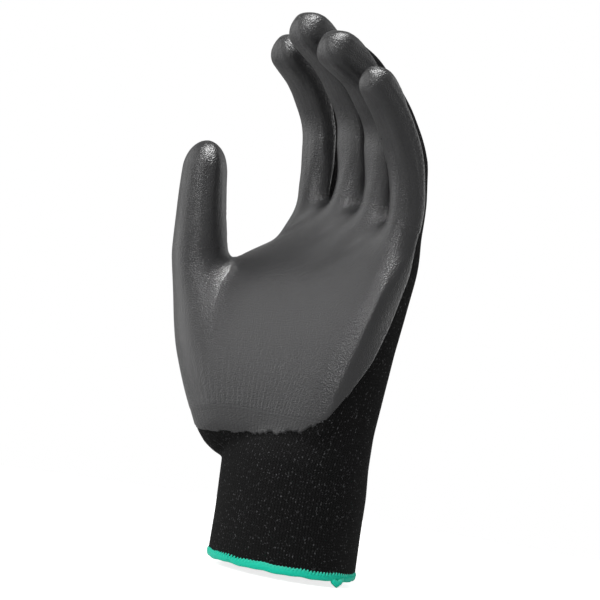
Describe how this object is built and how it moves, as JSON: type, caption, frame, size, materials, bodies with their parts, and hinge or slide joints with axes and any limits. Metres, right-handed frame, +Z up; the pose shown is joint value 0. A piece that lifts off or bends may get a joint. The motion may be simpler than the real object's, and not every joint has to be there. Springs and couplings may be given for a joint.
{
  "type": "cut resistant glove",
  "caption": "Left-hand cut resistant work glove: black seamless knit liner, grey rubber-dipped palm, thumb and fingers, ribbed elastic cuff with a teal overlocked hem.",
  "frame": {"origin": "centre of the cuff opening, in the plane of the hem's lower edge", "axes": "+Z up along the cuff towards the fingertips, -Y the palm side, -X the thumb side"},
  "size_m": [0.1108, 0.0667, 0.2308],
  "materials": {
    "liner_knit": "plain knit, matt",
    "rib_knit": "rib knit, matt",
    "rubber_dip": "satin",
    "rubber_top_dip": "fine sandy satin",
    "hem_thread": "overlocked thread",
    "elastic_yarn": "matt"
  },
  "bodies": {
    "cuff": {"cuff_rib": "rib_knit", "hem_binding": "hem_thread", "hem_tail": "hem_thread", "cuff_elastic": "elastic_yarn", "wrist_rib": "rib_knit"},
    "hand": {"palm_liner": "liner_knit", "palm_dip": "rubber_dip", "palm_top_dip": "rubber_top_dip"},
    "index_root": {"index_root_knuckle": "liner_knit", "index_root_stall": "liner_knit", "index_root_dip": "rubber_dip"},
    "index_mid": {"index_mid_knuckle": "liner_knit", "index_mid_stall": "liner_knit", "index_mid_dip": "rubber_dip"},
    "index_tip": {"index_tip_knuckle": "liner_knit", "index_tip_stall": "liner_knit", "index_tip_dip": "rubber_dip"},
    "middle_root": {"middle_root_knuckle": "liner_knit", "middle_root_stall": "liner_knit", "middle_root_dip": "rubber_dip"},
    "middle_mid": {"middle_mid_knuckle": "liner_knit", "middle_mid_stall": "liner_knit", "middle_mid_dip": "rubber_dip"},
    "middle_tip": {"middle_tip_knuckle": "liner_knit", "middle_tip_stall": "liner_knit", "middle_tip_dip": "rubber_dip"},
    "ring_root": {"ring_root_knuckle": "liner_knit", "ring_root_stall": "liner_knit", "ring_root_dip": "rubber_dip"},
    "ring_mid": {"ring_mid_knuckle": "liner_knit", "ring_mid_stall": "liner_knit", "ring_mid_dip": "rubber_dip"},
    "ring_tip": {"ring_tip_knuckle": "liner_knit", "ring_tip_stall": "liner_knit", "ring_tip_dip": "rubber_dip"},
    "little_root": {"little_root_knuckle": "liner_knit", "little_root_stall": "liner_knit", "little_root_dip": "rubber_dip"},
    "little_mid": {"little_mid_knuckle": "liner_knit", "little_mid_stall": "liner_knit", "little_mid_dip": "rubber_dip"},
    "little_tip": {"little_tip_knuckle": "liner_knit", "little_tip_stall": "liner_knit", "little_tip_dip": "rubber_dip"},
    "thumb_root": {"thumb_root_knuckle": "liner_knit", "thumb_root_stall": "liner_knit", "thumb_root_dip": "rubber_dip"},
    "thumb_tip": {"thumb_tip_knuckle": "liner_knit", "thumb_tip_stall": "liner_knit", "thumb_tip_dip": "rubber_dip"}
  },
  "joints": [
    {"name": "wrist_flex", "type": "hinge", "parent": "cuff", "child": "hand", "pos_m": [0, 0, 0.036], "axis": [1, 0, 0], "range_deg": [-30, 35], "stiffness_Nm_per_rad": 0.4, "deforming": ["wrist_rib"]},
    {"name": "index_root_flex", "type": "hinge", "parent": "hand", "child": "index_root", "pos_m": [-0.03221, 0.01269, 0.15995], "axis": [1, 0, 0], "range_deg": [-20, 55], "stiffness_Nm_per_rad": 0.04, "deforming": ["index_root_knuckle", "index_root_dip"]},
    {"name": "index_mid_flex", "type": "hinge", "parent": "index_root", "child": "index_mid", "pos_m": [-0.03221, 0.01184, 0.18433], "axis": [1, 0, 0], "range_deg": [-20, 45], "stiffness_Nm_per_rad": 0.02, "deforming": ["index_mid_knuckle", "index_mid_dip"]},
    {"name": "index_tip_flex", "type": "hinge", "parent": "index_mid", "child": "index_tip", "pos_m": [-0.03221, 0.00034, 0.2017], "axis": [1, 0, 0], "range_deg": [-14, 31], "stiffness_Nm_per_rad": 0.008, "deforming": ["index_tip_knuckle", "index_tip_dip"]},
    {"name": "middle_root_flex", "type": "hinge", "parent": "hand", "child": "middle_root", "pos_m": [-0.01017, 0.01269, 0.15995], "axis": [1, 0, 0], "range_deg": [-20, 55], "stiffness_Nm_per_rad": 0.04, "deforming": ["middle_root_knuckle", "middle_root_dip"]},
    {"name": "middle_mid_flex", "type": "hinge", "parent": "middle_root", "child": "middle_mid", "pos_m": [-0.01017, 0.00958, 0.18951], "axis": [1, 0, 0], "range_deg": [-20, 45], "stiffness_Nm_per_rad": 0.02, "deforming": ["middle_mid_knuckle", "middle_mid_dip"]},
    {"name": "middle_tip_flex", "type": "hinge", "parent": "middle_mid", "child": "middle_tip", "pos_m": [-0.01017, -0.00604, 0.20951], "axis": [1, 0, 0], "range_deg": [-14, 31], "stiffness_Nm_per_rad": 0.008, "deforming": ["middle_tip_knuckle", "middle_tip_dip"]},
    {"name": "ring_root_flex", "type": "hinge", "parent": "hand", "child": "ring_root", "pos_m": [0.01187, 0.01247, 0.15795], "axis": [1, 0, 0], "range_deg": [-20, 55], "stiffness_Nm_per_rad": 0.04, "deforming": ["ring_root_knuckle", "ring_root_dip"]},
    {"name": "ring_mid_flex", "type": "hinge", "parent": "ring_root", "child": "ring_mid", "pos_m": [0.01187, 0.00895, 0.18664], "axis": [1, 0, 0], "range_deg": [-20, 45], "stiffness_Nm_per_rad": 0.02, "deforming": ["ring_mid_knuckle", "ring_mid_dip"]},
    {"name": "ring_tip_flex", "type": "hinge", "parent": "ring_mid", "child": "ring_tip", "pos_m": [0.01187, -0.00756, 0.20498], "axis": [1, 0, 0], "range_deg": [-14, 31], "stiffness_Nm_per_rad": 0.008, "deforming": ["ring_tip_knuckle", "ring_tip_dip"]},
    {"name": "little_root_flex", "type": "hinge", "parent": "hand", "child": "little_root", "pos_m": [0.03291, 0.01181, 0.15195], "axis": [1, 0, 0], "range_deg": [-20, 55], "stiffness_Nm_per_rad": 0.04, "deforming": ["little_root_knuckle", "little_root_dip"]},
    {"name": "little_mid_flex", "type": "hinge", "parent": "little_root", "child": "little_mid", "pos_m": [0.03291, 0.00596, 0.17458], "axis": [1, 0, 0], "range_deg": [-20, 45], "stiffness_Nm_per_rad": 0.02, "deforming": ["little_mid_knuckle", "little_mid_dip"]},
    {"name": "little_tip_flex", "type": "hinge", "parent": "little_mid", "child": "little_tip", "pos_m": [0.03291, -0.00534, 0.19102], "axis": [1, 0, 0], "range_deg": [-14, 31], "stiffness_Nm_per_rad": 0.008, "deforming": ["little_tip_knuckle", "little_tip_dip"]},
    {"name": "thumb_root_flex", "type": "hinge", "parent": "hand", "child": "thumb_root", "pos_m": [-0.05565, -0.02629, 0.12945], "axis": [-1, 0, 0], "range_deg": [-25, 40], "stiffness_Nm_per_rad": 0.04, "deforming": ["thumb_root_knuckle", "thumb_root_dip"]},
    {"name": "thumb_tip_flex", "type": "hinge", "parent": "thumb_root", "child": "thumb_tip", "pos_m": [-0.05565, -0.02718, 0.14643], "axis": [-1, 0, 0], "range_deg": [-10, 45], "stiffness_Nm_per_rad": 0.02, "deforming": ["thumb_tip_knuckle", "thumb_tip_dip"]}
  ],
  "couplings": [
    {"joint": "index_tip_flex", "follows": "index_mid_flex", "ratio": 0.67},
    {"joint": "middle_tip_flex", "follows": "middle_mid_flex", "ratio": 0.67},
    {"joint": "ring_tip_flex", "follows": "ring_mid_flex", "ratio": 0.67},
    {"joint": "little_tip_flex", "follows": "little_mid_flex", "ratio": 0.67}
  ]
}
